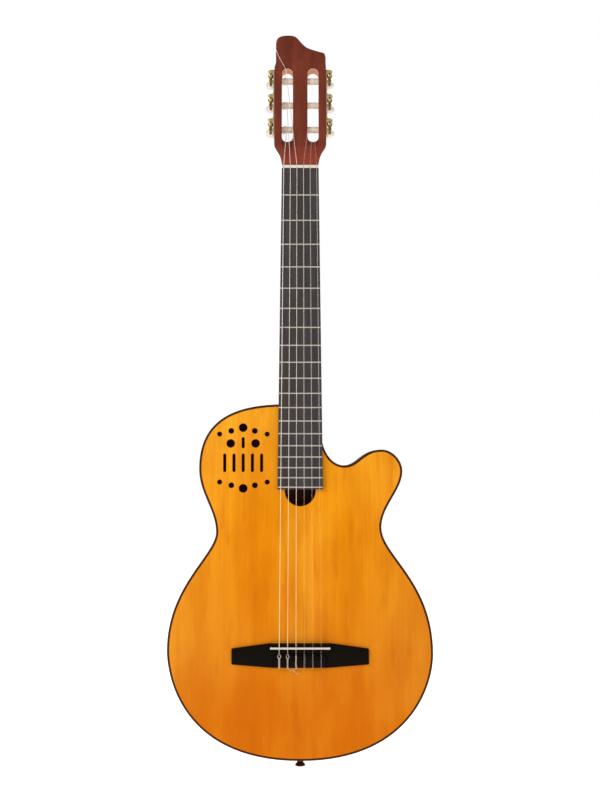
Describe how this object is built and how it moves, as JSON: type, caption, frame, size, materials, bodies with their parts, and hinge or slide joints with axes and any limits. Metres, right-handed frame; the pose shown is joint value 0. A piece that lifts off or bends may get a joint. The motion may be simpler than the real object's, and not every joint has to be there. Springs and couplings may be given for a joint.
{
  "type": "acoustic guitar",
  "caption": "Nylon-string acoustic guitar with a cutaway body, small sound ports, a half-moon sound hole and a slotted headstock with worm-geared tuners",
  "frame": {"origin": "on the centre line at the nut's fingerboard edge, on the plane of the soundboard's face, level with the axes of a hanger's two arms", "axes": "+X to the treble side, +Y from the front to the back, +Z along the neck towards the headstock"},
  "size_m": [0.3625, 0.0933, 1.0098],
  "materials": {
    "amber_top": "warm amber cedar under clear gloss",
    "mahogany": "reddish brown mahogany, satin lacquer",
    "dark_rosewood": "dark grey-brown rosewood, bare and oiled",
    "black_bridge_wood": "nearly black hardwood, satin",
    "dark_trim": "dark brown trim under gloss",
    "inner_spruce": "bare spruce and cedar inside",
    "bone": "off-white polished bone",
    "fret_wire": "pale polished nickel silver",
    "gilt_brass": "polished gilt brass with pale oval buttons",
    "clear_nylon": "clear nylon monofilament",
    "wound_wire": "silvered round-wound wire"
  },
  "bodies": {
    "root": {"back": "mahogany", "brace_frame": "inner_spruce", "bridge": "black_bridge_wood", "end_button": "dark_trim", "fingerboard": "dark_rosewood", "fret_01": "fret_wire", "fret_02": "fret_wire", "fret_03": "fret_wire", "fret_04": "fret_wire", "fret_05": "fret_wire", "fret_06": "fret_wire", "fret_07": "fret_wire", "fret_08": "fret_wire", "fret_09": "fret_wire", "fret_10": "fret_wire", "fret_11": "fret_wire", "fret_12": "fret_wire", "fret_13": "fret_wire", "fret_14": "fret_wire", "fret_15": "fret_wire", "fret_16": "fret_wire", "fret_17": "fret_wire", "fret_18": "fret_wire", "fret_19": "fret_wire", "head_veneer": "mahogany", "headstock": "mahogany", "neck": "mahogany", "neck_block": "mahogany", "nut": "bone", "rim": "mahogany", "saddle": "bone", "soundboard": "amber_top", "string_1": "clear_nylon", "string_2": "clear_nylon", "string_3": "clear_nylon", "string_4": "wound_wire", "string_5": "wound_wire", "string_6": "wound_wire", "tail_block": "mahogany", "top_binding": "dark_trim", "tuner_plate_bass": "gilt_brass", "tuner_plate_treble": "gilt_brass"},
    "key_1_body": {"key_1": "gilt_brass"},
    "roller_1_body": {"roller_1": "bone", "gear_1": "gilt_brass"},
    "key_2_body": {"key_2": "gilt_brass"},
    "roller_2_body": {"roller_2": "bone", "gear_2": "gilt_brass"},
    "key_3_body": {"key_3": "gilt_brass"},
    "roller_3_body": {"roller_3": "bone", "gear_3": "gilt_brass"},
    "key_4_body": {"key_4": "gilt_brass"},
    "roller_4_body": {"roller_4": "bone", "gear_4": "gilt_brass"},
    "key_5_body": {"key_5": "gilt_brass"},
    "roller_5_body": {"roller_5": "bone", "gear_5": "gilt_brass"},
    "key_6_body": {"key_6": "gilt_brass"},
    "roller_6_body": {"roller_6": "bone", "gear_6": "gilt_brass"}
  },
  "joints": [
    {"name": "key_1_turn", "type": "hinge", "parent": "root", "child": "key_1_body", "pos_m": [0.0405, 0.02363, 0.06469], "axis": [0, 0.9703, -0.2419], "continuous": true},
    {"name": "roller_1_turn", "type": "hinge", "parent": "root", "child": "roller_1_body", "pos_m": [0.0405, 0.0216, 0.05654], "axis": [1, 0, 0], "continuous": true},
    {"name": "key_2_turn", "type": "hinge", "parent": "root", "child": "key_2_body", "pos_m": [0.0405, 0.03237, 0.09971], "axis": [0, 0.9703, -0.2419], "continuous": true},
    {"name": "roller_2_turn", "type": "hinge", "parent": "root", "child": "roller_2_body", "pos_m": [0.0405, 0.03033, 0.09156], "axis": [1, 0, 0], "continuous": true},
    {"name": "key_3_turn", "type": "hinge", "parent": "root", "child": "key_3_body", "pos_m": [0.0405, 0.0411, 0.13474], "axis": [0, 0.9703, -0.2419], "continuous": true},
    {"name": "roller_3_turn", "type": "hinge", "parent": "root", "child": "roller_3_body", "pos_m": [0.0405, 0.03907, 0.12659], "axis": [1, 0, 0], "continuous": true},
    {"name": "key_4_turn", "type": "hinge", "parent": "root", "child": "key_4_body", "pos_m": [-0.0405, 0.0411, 0.13474], "axis": [0, 0.9703, -0.2419], "continuous": true},
    {"name": "roller_4_turn", "type": "hinge", "parent": "root", "child": "roller_4_body", "pos_m": [-0.0405, 0.03907, 0.12659], "axis": [1, 0, 0], "continuous": true},
    {"name": "key_5_turn", "type": "hinge", "parent": "root", "child": "key_5_body", "pos_m": [-0.0405, 0.03237, 0.09971], "axis": [0, 0.9703, -0.2419], "continuous": true},
    {"name": "roller_5_turn", "type": "hinge", "parent": "root", "child": "roller_5_body", "pos_m": [-0.0405, 0.03033, 0.09156], "axis": [1, 0, 0], "continuous": true},
    {"name": "key_6_turn", "type": "hinge", "parent": "root", "child": "key_6_body", "pos_m": [-0.0405, 0.02363, 0.06469], "axis": [0, 0.9703, -0.2419], "continuous": true},
    {"name": "roller_6_turn", "type": "hinge", "parent": "root", "child": "roller_6_body", "pos_m": [-0.0405, 0.0216, 0.05654], "axis": [1, 0, 0], "continuous": true}
  ],
  "couplings": [
    {"joint": "roller_1_turn", "follows": "key_1_turn", "ratio": 0.071429},
    {"joint": "roller_2_turn", "follows": "key_2_turn", "ratio": 0.071429},
    {"joint": "roller_3_turn", "follows": "key_3_turn", "ratio": 0.071429},
    {"joint": "roller_4_turn", "follows": "key_4_turn", "ratio": 0.071429},
    {"joint": "roller_5_turn", "follows": "key_5_turn", "ratio": 0.071429},
    {"joint": "roller_6_turn", "follows": "key_6_turn", "ratio": 0.071429}
  ]
}
